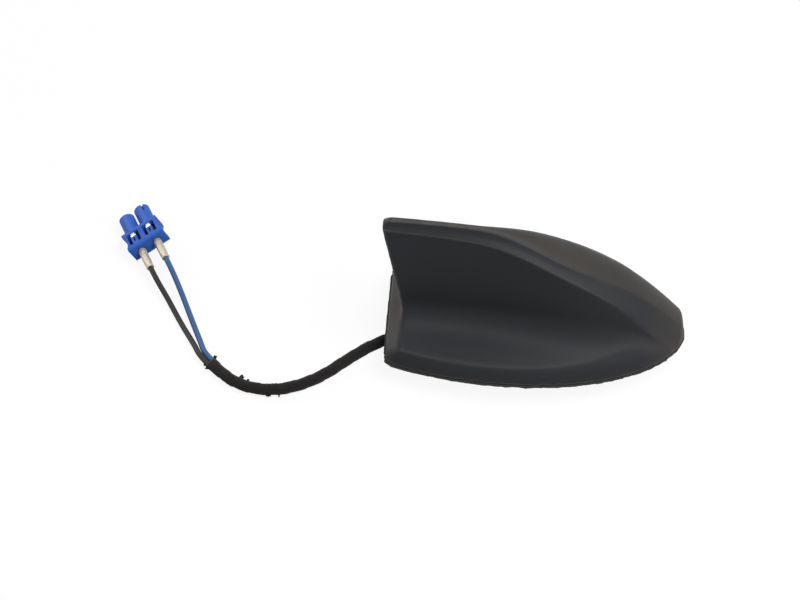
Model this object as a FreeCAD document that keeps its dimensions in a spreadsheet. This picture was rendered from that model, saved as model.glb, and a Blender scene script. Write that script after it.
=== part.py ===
"""Roof antenna with a shark-fin cover, a die-cast base, a taped pigtail and a twin coax connector.

Frame: origin where the fixing-bolt axis meets the roof plane, +X to the nose, +Z up.
The part stands on the foot of its locating boss, and the pigtail lies at that level.
"""
import FreeCAD
import Part
import Sketcher
import math
import os
import re

Vec = FreeCAD.Vector

# Driving sizes in millimetres; angles in degrees
SIZES = {
    # moulded cover
    "cover_length": 148.5,
    "cover_width": 83.0,
    "cover_rear": -68.0,
    "widest_place": -5.0,
    "front_ellipse_run": 0.6,
    "rear_ellipse_run": 35.0,
    "rear_corner": 7.0,
    "nose_corner": 8.0,
    "fin_height": 71.2,
    "cover_wall": 2.0,
    "flange_height": 20.0,
    "flange_side_lean": 12.0,
    "flange_nose_lean": 6.5,
    "flange_rear_lean": 0.8,
    "upper_crease_blend": 1.2,
    "lower_crease_blend": 0.9,
    "foot_blend": 11.0,
    "rear_margin_height": 4.5,
    "trailing_foot_reach": 7.6,
    "trailing_foot_height": 12.5,
    "trailing_foot_fillet": 6.0,
    "tip_overhang": 2.5,
    "tip_drop": 5.7,
    "tip_round_reach": 4.5,
    # base, seals and fasteners
    "seal_thickness": 1.2,
    "seal_ring_width": 8.0,
    "seal_edge_inset": 0.3,
    "plate_clearance": 0.4,
    "plate_thickness": 3.0,
    "plate_nose_setback": 7.0,
    "gasket_width": 1.8,
    "gasket_height": 1.4,
    "gasket_inset": 1.0,
    "boss_length": 46.0,
    "boss_width": 30.0,
    "boss_depth": 12.0,
    "bolt_hole_radius": 2.5,
    "bolt_hole_depth": 11.0,
    "well_length": 11.0,
    "well_width": 12.0,
    "well_floor": 2.0,
    "well_middle": -13.5,
    "cover_screw_front_room": 38.5,
    "cover_screw_front_side": 20.6,
    "cover_screw_rear_room": 22.0,
    "cover_screw_rear_side": 24.0,
    "cover_boss_radius": 3.2,
    "cover_screw_radius": 1.3,
    "cover_screw_grip": 4.4,
    "screw_head_radius": 2.7,
    "screw_head_height": 1.5,
    "screw_clearance": 0.2,
    # electronics
    "standoff_radius": 2.8,
    "standoff_height": 2.2,
    "board_length": 94.0,
    "board_width": 34.0,
    "board_thickness": 1.6,
    "board_middle": -4.0,
    "board_screw_inset": 3.6,
    "board_screw_radius": 1.1,
    "board_screw_grip": 3.2,
    "board_screw_head_radius": 2.1,
    "board_screw_head_height": 1.4,
    "board_window_length": 12.0,
    "board_window_width": 13.0,
    "fin_board_thickness": 1.0,
    "fin_board_rear": -60.0,
    "fin_board_front": 6.0,
    "fin_board_top": 61.0,
    "fin_board_nose_height": 44.0,
    "fin_board_slope_start": -14.0,
    "clip_length": 7.0,
    "clip_height": 5.0,
    "clip_wall": 1.6,
    "clip_rear": -44.0,
    "clip_front": -30.0,
    "patch_side": 25.0,
    "patch_height": 4.0,
    "patch_middle": 24.0,
    "electrode_margin": 1.6,
    "electrode_height": 0.3,
    "feed_radius": 0.5,
    "feed_offset": 1.8,
    "feed_head_radius": 1.1,
    "feed_head_height": 0.4,
    "can_length": 20.0,
    "can_width": 12.0,
    "can_height": 2.6,
    "can_middle": -2.0,
    "can_side": 9.0,
    "can_wall": 0.4,
    # pigtail
    "grommet_height": 6.0,
    "grommet_radius": 3.8,
    "grommet_collar_radius": 4.8,
    "grommet_collar": 2.4,
    "grommet_side": -2.0,
    "grommet_fit": 0.1,
    "bundle_radius": 2.9,
    "lead_radius": 1.45,
    "lead_pitch": 2.9,
    "inner_lead_bend": 4.4,
    "inner_lead_run": 3.0,
    # twin coax connector
    "connector_x": -199.4,
    "connector_y": 42.0,
    "connector_heading": 120.0,
    "connector_roll": -21.0,
    "axis_pitch": 9.6,
    "barrel_radius": 4.3,
    "barrel_length": 12.4,
    "barrel_bore": 3.3,
    "barrel_floor": 2.0,
    "block_length": 12.4,
    "block_width": 21.4,
    "block_height": 9.4,
    "block_waist": 1.3,
    "waist_radius": 7.5,
    "rear_bore": 2.3,
    "window_length": 7.4,
    "window_width": 7.0,
    "window_depth": 7.6,
    "window_front_wall": 2.0,
    "tongue_width": 3.4,
    "tongue_length": 4.6,
    "tongue_height": 2.0,
    "tongue_slit_length": 3.0,
    "tongue_slit_width": 0.8,
    "key_slot_length": 4.5,
    "key_slot_width": 0.9,
    "key_slot_depth": 1.6,
    "key_slot_side": 1.7,
    "contact_radius": 1.9,
    "contact_wall": 0.35,
    "collar_radius": 2.7,
    "collar_length": 1.0,
    "collar_gap": 0.5,
    "contact_front": 21.0,
    "insulator_front": 19.4,
    "centre_pin_radius": 0.5,
    "centre_pin_front": 20.4,
    "ferrule_radius": 2.15,
    "ferrule_wall": 0.4,
    "ferrule_tail": 14.0,
    "ferrule_nose": 1.0,
    "fit_gap": 0.1,
}

# Shares of the cover: place from the rear along its length, half width, height, one row for each station
STATIONS = (-0.135, 0.067, 0.229, 0.35, 0.458, 0.579, 0.727, 0.875, 1.104)
CREST = (1.014, 0.996, 0.977, 0.952, 0.893, 0.776, 0.631, 0.432, -0.134)
UPPER_CREASE = (
    (0.043, 1.006), (0.038, 0.994), (0.029, 0.97), (0.049, 0.933), (0.135, 0.861),
    (0.212, 0.737), (0.214, 0.594), (0.183, 0.404), (0.15, -0.14),
)
LOWER_CREASE = (
    (0.101, 0.963), (0.106, 0.934), (0.119, 0.905), (0.159, 0.876), (0.247, 0.809),
    (0.324, 0.685), (0.359, 0.526), (0.381, 0.274), (0.279, -0.319),
)
PANEL_FOOT = (
    (0.207, 0.171), (0.212, 0.171), (0.243, 0.176), (0.297, 0.188), (0.353, 0.201),
    (0.42, 0.216), (0.487, 0.222), (0.482, 0.19), (0.434, -0.17),
)
SKIRT_EDGE = (
    (1.253, 0.107), (1.253, 0.107), (1.253, 0.101), (1.253, 0.096), (1.253, 0.085),
    (1.253, 0.07), (1.205, 0.05), (1.108, 0.07), (1.012, -0.2),
)
# How many times longer the crease blends are at each station: the creases fade out at the nose
CREASE_FADE = (1.0, 1.0, 1.0, 1.0, 1.0, 1.0, 2.0, 5.0, 10.0)
# Shares of the flange: height, then how far its rounded wall has leaned in at the sides, nose and rear
FLANGE_WALL = (
    (0.0, 0.0, 0.0, 0.0), (0.2, 0.14, 0.12, 0.2), (0.36, 0.29, 0.24, 0.4), (0.47, 0.45, 0.35, 0.5),
    (0.57, 0.63, 0.47, 0.6), (0.78, 0.88, 0.72, 0.8), (1.0, 1.0, 1.0, 1.0),
)
# Strips in each bend of the outer form and, fewer, of the hollow: crown, upper crease, lower crease, foot
OUTER_STEPS, HOLLOW_STEPS = (3, 3, 3, 7), (1, 1, 1, 3)
BLOCK_DEPTH = -60.0
# The most that a blend may take of a side, of half a crown, and an arc of a straight run
BLEND_SHARE, CROWN_SHARE, ARC_SHARE = 0.45, 0.6, 0.45
# Where the rounded tip bulges most: shares of its reach and of its rise
TIP_BULGE = (0.25, 0.72)
SAME_PLACE = 1e-4
# Degree of the lengthwise lines, and where a turned profile's sketch starts before its sizes pull it in place
DEGREE = 3
SKETCH_START = 2.0

# Routes on the floor, chosen to follow the real lie of the pigtail
BUNDLE_ROUTE = (
    (-50.5, -3.0, -7.5), (-63.5, -6.3, -9.05), (-75.5, -12.8, -9.05), (-86.5, -22.4, -9.05),
    (-97.5, -33.2, -9.05), (-107.8, -40.0, -9.05), (-118.5, -44.0, -9.05), (-129.3, -44.7, -9.05),
    (-139.3, -42.2, -9.05), (-148.2, -36.9, -9.05), (-155.6, -29.8, -9.05),
)
BLACK_ROUTE = ((-165.6, -18.8, -9.9), (-175.2, -4.6, -10.5), (-184.6, 10.4, -9.0))
BLUE_ROUTE = ((-162.6, -17.2, -9.9), (-169.8, -2.6, -9.6), (-177.6, 13.2, -6.8))
FIRST_RUN = 11.0
SPLIT_RUN = 7.0
LAST_RUN = 9.0

doc = FreeCAD.newDocument("roof_antenna")
sheet = doc.addObject("Spreadsheet::Sheet", "Sizes")
nodes = []


def fill_sheet():
    """Write every driving size into the sheet, with its name as the alias."""
    for row, (name, value) in enumerate(SIZES.items(), start=1):
        sheet.set(f"A{row}", name)
        sheet.set(f"B{row}", str(value))
        sheet.setAlias(f"B{row}", name)
    doc.recompute()


def size(name):
    """A driving size, read back from the sheet."""
    return float(sheet.get(name))


def tied(text):
    """An expression in which each size's name points at its cell."""
    return re.sub(r"[a-z_]+", lambda m: "Sizes." + m.group() if m.group() in SIZES else m.group(), text)


def bind(item, **formulas):
    """Bind properties of a document object to formulas of driving sizes."""
    for path, text in formulas.items():
        item.setExpression(path.replace("__", "."), tied(text))


def place(item, x, y, z):
    """Bind an object's position to three formulas."""
    bind(item, Placement__Base__x=x, Placement__Base__y=y, Placement__Base__z=z)


def box(name, length, width, height, x, y, z):
    """A block, centred on x and y, standing on z."""
    item = doc.addObject("Part::Box", name)
    bind(item, Length=length, Width=width, Height=height)
    place(item, f"({x}) - ({length}) / 2", f"({y}) - ({width}) / 2", z)
    return item


def rod(name, radius, length, x, y, z, lying=False):
    """A cylinder that stands on its base point, or lies along +X from it."""
    item = doc.addObject("Part::Cylinder", name)
    bind(item, Radius=radius, Height=length)
    if lying:
        item.Placement.Rotation = FreeCAD.Rotation(Vec(0, 1, 0), 90)
    place(item, x, y, z)
    return item


def fuse(name, *items):
    """One solid from several."""
    item = doc.addObject("Part::MultiFuse", name)
    item.Shapes = list(items)
    return item


def cut(name, base, *tools):
    """A solid with others taken out of it."""
    item = doc.addObject("Part::Cut", name)
    item.Base = base
    item.Tool = tools[0] if len(tools) == 1 else fuse(name + "_tools", *tools)
    return item


def group(name, *items):
    """Like pieces that share one node as separate solids."""
    item = doc.addObject("Part::Compound", name)
    item.Links = list(items)
    return item


def node(item, label):
    """Mark a finished sub-part; its label names its file."""
    item.Label = label
    nodes.append(item)
    return item


def formed(name, shape):
    """A free-form shape as a document object."""
    item = doc.addObject("Part::Feature", name)
    item.Shape = shape
    return item


def turned(name, profile):
    """A body turned about Z from a closed profile of (radius, height) formulas."""
    body = doc.addObject("PartDesign::Body", name)
    sketch = body.newObject("Sketcher::SketchObject", name + "_profile")
    planes = [p for p in body.Origin.OriginFeatures if p.Role == "XZ_Plane"]
    sketch.AttachmentSupport = (planes[0], [""])
    sketch.MapMode = "FlatFace"
    count = len(profile)
    ring = [2 * math.pi * i / count for i in range(count)]
    start = [Vec(SKETCH_START + math.cos(a), math.sin(a), 0) for a in ring]
    for i in range(count):
        sketch.addGeometry(Part.LineSegment(start[i], start[(i + 1) % count]), False)
    for i in range(count):
        sketch.addConstraint(Sketcher.Constraint("Coincident", i, 2, (i + 1) % count, 1))
    for i, (radius, height) in enumerate(profile):
        for kind, axis, text in (("DistanceX", -2, radius), ("DistanceY", -1, height)):
            if text == "0":
                sketch.addConstraint(Sketcher.Constraint("PointOnObject", i, 1, axis))
                continue
            index = sketch.addConstraint(Sketcher.Constraint(kind, i, 1, 1.0))
            sketch.setExpression(f"Constraints[{index}]", tied(text))
    spin = body.newObject("PartDesign::Revolution", name + "_spin")
    spin.Profile = sketch
    spin.ReferenceAxis = (sketch, ["V_Axis"])
    spin.Angle = 360
    return body


# Outline of the cover seen from above

def outline(side_inset, nose_inset, rear_inset, z):
    """Two half ellipses, cut square at nose and rear, with rounded corners."""
    middle = size("widest_place")
    half = size("cover_width") / 2 - side_inset
    nose = size("cover_rear") + size("cover_length") - nose_inset
    back = size("cover_rear") + rear_inset
    front_run = nose + size("front_ellipse_run") - middle
    rear_run = middle - back + size("rear_ellipse_run")
    front = Part.Ellipse(Vec(middle, 0, z), front_run, half)
    rear = Part.Ellipse(Vec(middle, 0, z), rear_run, half)
    nose_turn = math.acos((nose - middle) / front_run)
    rear_turn = math.acos((back - middle) / rear_run)
    full = 2 * math.pi
    arcs = [
        Part.ArcOfEllipse(front, nose_turn, full / 4).toShape(),
        Part.ArcOfEllipse(rear, full / 4, rear_turn).toShape(),
        Part.ArcOfEllipse(rear, full - rear_turn, full * 3 / 4).toShape(),
        Part.ArcOfEllipse(front, full * 3 / 4, full - nose_turn).toShape(),
    ]
    rear_line = Part.makeLine(arcs[1].Vertexes[-1].Point, arcs[2].Vertexes[0].Point)
    nose_line = Part.makeLine(arcs[3].Vertexes[-1].Point, arcs[0].Vertexes[0].Point)
    loop = Part.Wire([arcs[0], arcs[1], rear_line, arcs[2], arcs[3], nose_line])
    prism = Part.Face(loop).extrude(Vec(0, 0, 1))
    for where, radius in ((back, size("rear_corner") - rear_inset), (nose, size("nose_corner"))):
        corners = [e for e in prism.Edges if stands_at(e, where)]
        prism = prism.makeFillet(max(radius, size("cover_wall")), corners)
    base = min(prism.Faces, key=lambda f: f.BoundBox.ZMax)
    return base.OuterWire


def stands_at(edge, x):
    """Whether an edge is upright and stands at this x."""
    box_of = edge.BoundBox
    return box_of.XLength + box_of.YLength < SAME_PLACE and abs(box_of.XMin - x) < SAME_PLACE


def slab(inset, bottom, height, nose_setback=0.0):
    """The outline, moved in by an inset and shortened at the nose, as an upright slab."""
    return Part.Face(outline(inset, inset + nose_setback, inset, bottom)).extrude(Vec(0, 0, height))


# Moulded cover: lengthwise lines join the stations, and ruled strips join the lines

def toward(start, goal, distance, most=BLEND_SHARE):
    """A point on the way from start to goal, at most this share of the way along."""
    reach = math.dist(start, goal)
    share = min(distance / reach, most)
    return tuple(a + (b - a) * share for a, b in zip(start, goal))


def bend(start, corner, goal, steps):
    """Points of a parabola that rounds a corner, both ends included."""
    points = []
    for k in range(steps + 1):
        t = k / steps
        weights = ((1 - t) ** 2, 2 * t * (1 - t), t * t)
        points.append(tuple(sum(w * p for w, p in zip(weights, trio)) for trio in zip(start, corner, goal)))
    return points


def moved_in(points, wall):
    """A half section moved inwards by the wall, corner by corner."""
    normals = []
    for (y0, z0), (y1, z1) in zip(points, points[1:]):
        run = math.dist((y0, z0), (y1, z1))
        normals.append(((z1 - z0) / run, -(y1 - y0) / run))
    inner = []
    for i, (y, z) in enumerate(points):
        before = normals[max(i - 1, 0)]
        after = normals[min(i, len(normals) - 1)]
        spread = 1 + before[0] * after[0] + before[1] * after[1]
        shift = tuple(wall * (b + a) / spread for b, a in zip(before, after))
        inner.append((max(y + shift[0], 0.0), z + shift[1]))
    return inner


def half_section(station, wall):
    """One side of a cross-section of the cover, from crest to skirt edge."""
    half, height = size("cover_width") / 2, size("fin_height")
    lines = (UPPER_CREASE, LOWER_CREASE, PANEL_FOOT, SKIRT_EDGE)
    corners = [(0.0, CREST[station] * height)]
    corners += [(row[station][0] * half, row[station][1] * height) for row in lines]
    if wall:
        corners = moved_in(corners, wall)
        corners[0] = (0.0, corners[0][1])
    crest, upper, lower, foot, skirt = corners
    crown_steps, upper_steps, lower_steps, foot_steps = HOLLOW_STEPS if wall else OUTER_STEPS
    upper_blend = size("upper_crease_blend") * CREASE_FADE[station]
    lower_blend = size("lower_crease_blend") * CREASE_FADE[station]
    upper_in = toward(upper, crest, upper_blend, CROWN_SHARE)
    mirrored = (-upper_in[0], upper_in[1])
    crown = bend(mirrored, crest, upper_in, 2 * crown_steps)[crown_steps:]
    upper_out = toward(upper, lower, upper_blend)
    lower_in = toward(lower, upper, lower_blend)
    lower_out = toward(lower, foot, lower_blend)
    foot_in = toward(foot, lower, size("foot_blend"))
    foot_out = toward(foot, skirt, size("foot_blend"))
    return (
        crown
        + bend(upper_in, upper, upper_out, upper_steps)[1:]
        + bend(lower_in, lower, lower_out, lower_steps)
        + bend(foot_in, foot, foot_out, foot_steps)
        + [skirt]
    )


def strip(first, second):
    """A ruled surface between two lengthwise lines."""
    spans = len(first) - DEGREE
    knots = [float(k) for k in range(spans + 1)]
    counts = [DEGREE + 1] + [1] * (spans - 1) + [DEGREE + 1]
    surface = Part.BSplineSurface()
    poles = [list(pair) for pair in zip(first, second)]
    surface.buildFromPolesMultsKnots(poles, counts, [2, 2], knots, [0.0, 1.0], False, False, DEGREE, 1)
    return surface.toShape()


def fin_block(wall):
    """The fin and skirt as a closed block that is longer and wider than the cover."""
    length = size("cover_length")
    places = [size("cover_rear") + share * length for share in STATIONS]
    sections = [half_section(i, wall) for i in range(len(STATIONS))]
    faces = []
    feet = []
    for side in (1, -1):
        rows = [[Vec(x, side * y, z) for x, (y, z) in zip(places, line)] for line in zip(*sections)]
        foot = [Vec(p.x, p.y, BLOCK_DEPTH) for p in rows[-1]]
        feet.append(foot)
        rows.append(foot)
        faces += [strip(a, b) for a, b in zip(rows, rows[1:])]
    faces.append(strip(*feet))
    for x in (places[0], places[-1]):
        edges = [e for f in faces for e in f.Edges]
        rim = [e for e in edges if max(abs(e.BoundBox.XMin - x), abs(e.BoundBox.XMax - x)) < SAME_PLACE]
        faces.append(Part.Face(Part.Wire(Part.__sortEdges__(rim))))
    shell = Part.makeShell(faces)
    shell.sewShape()
    block = Part.makeSolid(shell)
    if block.Volume < 0:
        block.reverse()
    return block


def trailing_tool(shift):
    """What the rear margin, the trailing edge and the rounded tip leave behind the cover."""
    rear = size("cover_rear") + shift
    bottom = Vec(rear, 0, size("rear_margin_height"))
    foot = Vec(rear + size("trailing_foot_reach"), 0, size("trailing_foot_height"))
    tip = Vec(rear - size("tip_overhang"), 0, size("fin_height") - size("tip_drop"))
    top = size("fin_height") + size("cover_wall") / 2
    round_end = Vec(tip.x + size("tip_round_reach"), 0, top)
    reach, rise = TIP_BULGE
    bulge = Vec(tip.x + reach * size("tip_round_reach"), 0, tip.z + rise * (top - tip.z))
    far = rear - size("cover_length")
    high = 2 * size("fin_height")
    corners = [round_end, Vec(round_end.x, 0, high), Vec(far, 0, high), Vec(far, 0, bottom.z), bottom, foot, tip]
    edges = [Part.Arc(tip, bulge, round_end).toShape()]
    edges += [Part.makeLine(a, b) for a, b in zip(corners, corners[1:])]
    profile = Part.Face(Part.Wire(edges))
    width = 2 * size("cover_width")
    profile.translate(Vec(0, -width / 2, 0))
    prism = profile.extrude(Vec(0, width, 0))
    inner_edge = [e for e in prism.Edges if lies_across(e, foot)]
    return prism.makeFillet(size("trailing_foot_fillet"), inner_edge)


def lies_across(edge, point):
    """Whether an edge lies straight across the part through a point of its middle plane."""
    box_of = edge.BoundBox
    return math.hypot(box_of.XMax - point.x, box_of.XMin - point.x, box_of.ZMax - point.z) < SAME_PLACE


def cover_solid(wall):
    """The cover's outer form, or with a wall its hollow, from the seal up."""
    base = size("seal_thickness") if not wall else 0.0
    tall = size("flange_height")
    leans = (size("flange_side_lean"), size("flange_nose_lean"), size("flange_rear_lean"))
    rings = []
    for rise, *shares in FLANGE_WALL:
        insets = [wall + share * lean for share, lean in zip(shares, leans)]
        rings.append(outline(*insets, base + rise * (tall - base)))
    flange = Part.makeLoft(rings, True, True)
    reach = 2 * size("cover_length")
    room = Part.makeBox(reach, reach, reach, Vec(-reach / 2, -reach / 2, tall))
    whole = fin_block(wall).common(flange.fuse(room))
    return whole.cut(trailing_tool(wall))


def wall_lean(z):
    """How far the flange's side wall has leaned in at this height."""
    share = z / size("flange_height")
    for (low, lean, *_), (high, next_lean, *_) in zip(FLANGE_WALL, FLANGE_WALL[1:]):
        if share <= high:
            return size("flange_side_lean") * (lean + (next_lean - lean) * (share - low) / (high - low))
    return size("flange_side_lean")


def cover_screw_places():
    """Names, x and y formulas of the four cover screws."""
    along = {
        "front": "cover_rear + cover_length - cover_screw_front_room",
        "rear": "cover_rear + cover_screw_rear_room",
    }
    for end, x in along.items():
        for hand, sign in (("left", ""), ("right", "-")):
            yield f"{end}_{hand}", x, f"{sign}cover_screw_{end}_side"


def fin_cover():
    """Hollow moulding with a screw boss in each corner of the skirt."""
    outer = cover_solid(0.0)
    hollow = cover_solid(size("cover_wall"))
    cover = outer.cut(hollow)
    top = size("seal_thickness") + size("plate_thickness")
    pilot = size("cover_screw_radius") + size("screw_clearance")
    nose = size("cover_rear") + size("cover_length")
    along = {
        "front": nose - size("cover_screw_front_room"),
        "rear": size("cover_rear") + size("cover_screw_rear_room"),
    }
    for end, x in along.items():
        for sign in (1, -1):
            at = Vec(x, sign * size(f"cover_screw_{end}_side"), top)
            post = Part.makeCylinder(size("cover_boss_radius"), size("flange_height"), at)
            cover = cover.fuse(post.common(outer))
            hole = Part.makeCylinder(pilot, size("cover_screw_grip") + size("screw_clearance"), at)
            cover = cover.cut(hole)
    node(formed("cover_form", cover), "fin_cover")


def base_and_seals():
    """Die-cast base with its locating boss, the roof seal and the cover gasket."""
    top = "seal_thickness + plate_thickness"
    floor = size("seal_thickness") + size("plate_thickness")
    inset = size("cover_wall") + size("plate_clearance") + wall_lean(floor)
    setback = size("plate_nose_setback")
    plate = formed("plate_slab", slab(inset, size("seal_thickness"), size("plate_thickness"), setback))
    boss_height = "boss_depth + seal_thickness + plate_thickness / 2"
    straight = "boss_length - boss_width"
    shape = [
        plate,
        box("boss_middle", straight, "boss_width", boss_height, "0", "0", "-boss_depth"),
        rod("boss_front", "boss_width / 2", boss_height, f"({straight}) / 2", "0", "-boss_depth"),
        rod("boss_rear", "boss_width / 2", boss_height, f"-({straight}) / 2", "0", "-boss_depth"),
    ]
    drills = [
        rod("bolt_hole", "bolt_hole_radius", "bolt_hole_depth", "0", "0", "-boss_depth"),
        box("cable_well", "well_length", "well_width", f"boss_depth + {top}", "well_middle", "0",
            "-boss_depth + well_floor"),
        rod("cable_hole", "grommet_radius + grommet_fit", "boss_length / 2 + cover_wall + well_middle",
            "-boss_length / 2 - cover_wall", "grommet_side", "-grommet_height", lying=True),
    ]
    for name, x, y in cover_screw_places():
        drills.append(rod(f"screw_hole_{name}", "cover_screw_radius + screw_clearance", "plate_thickness",
                          x, y, "seal_thickness"))
        drills.append(rod(f"screw_sink_{name}", "screw_head_radius + screw_clearance",
                          "screw_head_height + screw_clearance", x, y, "seal_thickness"))
    for name, x, y in board_screw_places():
        shape.append(rod(f"standoff_{name}", "standoff_radius", "standoff_height + plate_thickness / 2",
                         x, y, f"{top} - plate_thickness / 2"))
        drills.append(rod(f"tapped_{name}", "board_screw_radius + fit_gap", "board_screw_grip", x, y,
                          f"{top} + standoff_height - board_screw_grip"))
    node(cut("base_cast", fuse("base_blank", *shape), *drills), "base_plate")

    ring = slab(size("seal_edge_inset"), 0.0, size("seal_thickness"))
    gone = slab(size("seal_edge_inset") + size("seal_ring_width"), 0.0, size("seal_thickness"))
    node(formed("seal_ring", ring.cut(gone)), "roof_seal")

    out = inset + size("gasket_inset")
    band = slab(out, floor, size("gasket_height"), setback)
    inside = slab(out + size("gasket_width"), floor, size("gasket_height"), setback)
    node(formed("gasket_ring", band.cut(inside)), "cover_gasket")


def board_screw_places():
    """Names, x and y formulas of the four board screws."""
    for end, ahead in (("front", ""), ("rear", "-")):
        for hand, sign in (("left", ""), ("right", "-")):
            x = f"board_middle + {ahead}(board_length / 2 - board_screw_inset)"
            yield f"{end}_{hand}", x, f"{sign}(board_width / 2 - board_screw_inset)"


def screw(name, radius, grip, head_radius, head_height, x, y, z, upside_down):
    """A pan-head screw: grip below the head's seat, head above it, or the other way up."""
    body = turned(name, [
        ("0", head_height), (head_radius, head_height), (head_radius, "0"), (radius, "0"),
        (radius, f"-({grip})"), ("0", f"-({grip})"),
    ])
    if upside_down:
        body.Placement.Rotation = FreeCAD.Rotation(Vec(1, 0, 0), 180)
    place(body, x, y, z)
    return body


def fasteners():
    """Cover screws from below and board screws from above."""
    seat = "seal_thickness + screw_head_height"
    grip = "plate_thickness - screw_head_height + cover_screw_grip"
    low = [screw(f"cover_screw_{n}", "cover_screw_radius", grip, "screw_head_radius", "screw_head_height",
                 x, y, seat, True) for n, x, y in cover_screw_places()]
    node(group("cover_screw_set", *low), "cover_screws")
    seat = "seal_thickness + plate_thickness + standoff_height + board_thickness"
    grip = "board_thickness + board_screw_grip"
    high = [screw(f"board_screw_{n}", "board_screw_radius", grip, "board_screw_head_radius",
                  "board_screw_head_height", x, y, seat, False) for n, x, y in board_screw_places()]
    node(group("board_screw_set", *high), "board_screws")


def electronics():
    """Main board, upright fin board, its clips, the satellite patch and the amplifier's can."""
    under = "seal_thickness + plate_thickness + standoff_height"
    over = f"{under} + board_thickness"
    blank = box("board_blank", "board_length", "board_width", "board_thickness", "board_middle", "0", under)
    holes = [rod(f"board_hole_{n}", "board_screw_radius + fit_gap", "board_thickness", x, y, under)
             for n, x, y in board_screw_places()]
    holes.append(box("board_window", "board_window_length", "board_window_width", "board_thickness",
                     "well_middle", "0", under))
    node(cut("board_cut", blank, *holes), "main_circuit_board")

    node(formed("fin_board", fin_board()), "phone_antenna_board")
    clips = []
    for end in ("rear", "front"):
        block = box(f"clip_block_{end}", "clip_length", "fin_board_thickness + 2 * clip_wall", "clip_height",
                    f"clip_{end}", "0", over)
        slot = box(f"clip_slot_{end}", "clip_length", "fin_board_thickness + 2 * fit_gap", "clip_height",
                   f"clip_{end}", "0", over)
        clips.append(cut(f"clip_{end}_cut", block, slot))
    node(group("clip_set", *clips), "fin_board_clips")

    patch = box("patch_block", "patch_side", "patch_side", "patch_height", "patch_middle", "0", over)
    feed_x = "patch_middle + feed_offset"
    feed_hole = rod("patch_hole", "feed_radius + fit_gap", "patch_height", feed_x, "0", over)
    node(cut("patch_cut", patch, feed_hole), "satellite_patch")
    plated = "patch_side - 2 * electrode_margin"
    film = box("electrode_film", plated, plated, "electrode_height", "patch_middle", "0", f"{over} + patch_height")
    film_hole = rod("electrode_hole", "feed_radius + fit_gap", "electrode_height", feed_x, "0",
                    f"{over} + patch_height")
    node(cut("electrode_cut", film, film_hole), "patch_electrode")
    pin = turned("feed_pin", [
        ("0", "0"), ("feed_radius", "0"), ("feed_radius", "patch_height + electrode_height"),
        ("feed_head_radius", "patch_height + electrode_height"),
        ("feed_head_radius", "patch_height + electrode_height + feed_head_height"),
        ("0", "patch_height + electrode_height + feed_head_height"),
    ])
    place(pin, feed_x, "0", over)
    node(pin, "patch_feed_pin")

    lid = box("can_block", "can_length", "can_width", "can_height", "can_middle", "can_side", over)
    inside = box("can_room", "can_length - 2 * can_wall", "can_width - 2 * can_wall", "can_height - can_wall",
                 "can_middle", "can_side", over)
    node(cut("can_cut", lid, inside), "amplifier_shield_can")


def fin_board():
    """The upright board, with a top that slopes with the crest."""
    foot = sum(size(n) for n in ("seal_thickness", "plate_thickness", "standoff_height", "board_thickness"))
    rear, front = size("fin_board_rear"), size("fin_board_front")
    main_rear = size("board_middle") - size("board_length") / 2
    corners = [
        (max(rear, main_rear), foot), (front, foot), (front, size("fin_board_nose_height")),
        (size("fin_board_slope_start"), size("fin_board_top")), (rear, size("fin_board_top")),
    ]
    thick = size("fin_board_thickness")
    loop = Part.makePolygon([Vec(x, -thick / 2, z) for x, z in corners + corners[:1]])
    return Part.Face(loop).extrude(Vec(0, thick, 0))


# Pigtail

def tube(points, radius, name):
    """A round tube along straight runs joined by the largest tangent arcs that they allow."""
    edges = []
    start = points[0]
    radii = []
    for before, corner, after in zip(points, points[1:], points[2:]):
        inward = (before - corner).normalize()
        outward = (after - corner).normalize()
        half_turn = (math.pi - inward.getAngle(outward)) / 2
        setback = ARC_SHARE * min((before - corner).Length, (after - corner).Length)
        arc_radius = setback / math.tan(half_turn)
        radii.append(arc_radius)
        enter = corner + inward * setback
        leave = corner + outward * setback
        bisector = (inward + outward).normalize()
        depth = arc_radius / math.cos(half_turn) - arc_radius
        edges.append(Part.LineSegment(start, enter).toShape())
        edges.append(Part.Arc(enter, corner + bisector * depth, leave).toShape())
        start = leave
    edges.append(Part.LineSegment(start, points[-1]).toShape())
    path = Part.Wire(edges)
    ahead = points[1] - points[0]
    section = Part.Wire(Part.makeCircle(radius, points[0], ahead))
    solid = path.makePipeShell([section], True, False)
    wanted = math.pi * radius ** 2 * path.Length
    print(f"{name}: length {path.Length:.1f}, radii {min(radii):.1f} to {max(radii):.1f}, "
          f"volume {solid.Volume / wanted:.4f} of section times length")
    return solid


def connector_placement():
    """Where the connector lies, rolled onto a lower edge of its block; its own +X is the mating direction."""
    turn = FreeCAD.Rotation(size("connector_heading"), 0, size("connector_roll"))
    roll = math.radians(abs(size("connector_roll")))
    lift = (size("block_width") * math.sin(roll) + size("block_height") * math.cos(roll)) / 2
    return FreeCAD.Placement(Vec(size("connector_x"), size("connector_y"), lift - size("boss_depth")), turn)


def bundle_points():
    """Route of the taped bundle, from the grommet to the split."""
    start = Vec(-size("boss_length") / 2 - size("grommet_collar"), size("grommet_side"), -size("grommet_height"))
    return [start, start + Vec(-FIRST_RUN, 0, 0)] + [Vec(*p) for p in BUNDLE_ROUTE]


def lead_points(route, side):
    """Route of one lead, from the split to its crimp ferrule."""
    bundle = bundle_points()
    ahead = (bundle[-1] - bundle[-2]).normalize()
    left = Vec(-ahead.y, ahead.x, 0)
    start = bundle[-1] + left * (side * size("lead_pitch") / 2)
    where = connector_placement()
    end = where.multVec(Vec(-size("ferrule_tail"), side * size("axis_pitch") / 2, 0))
    back = where.Rotation.multVec(Vec(-LAST_RUN, 0, 0))
    return [start, start + ahead * SPLIT_RUN] + [Vec(*p) for p in route] + [end + back, end]


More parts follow.
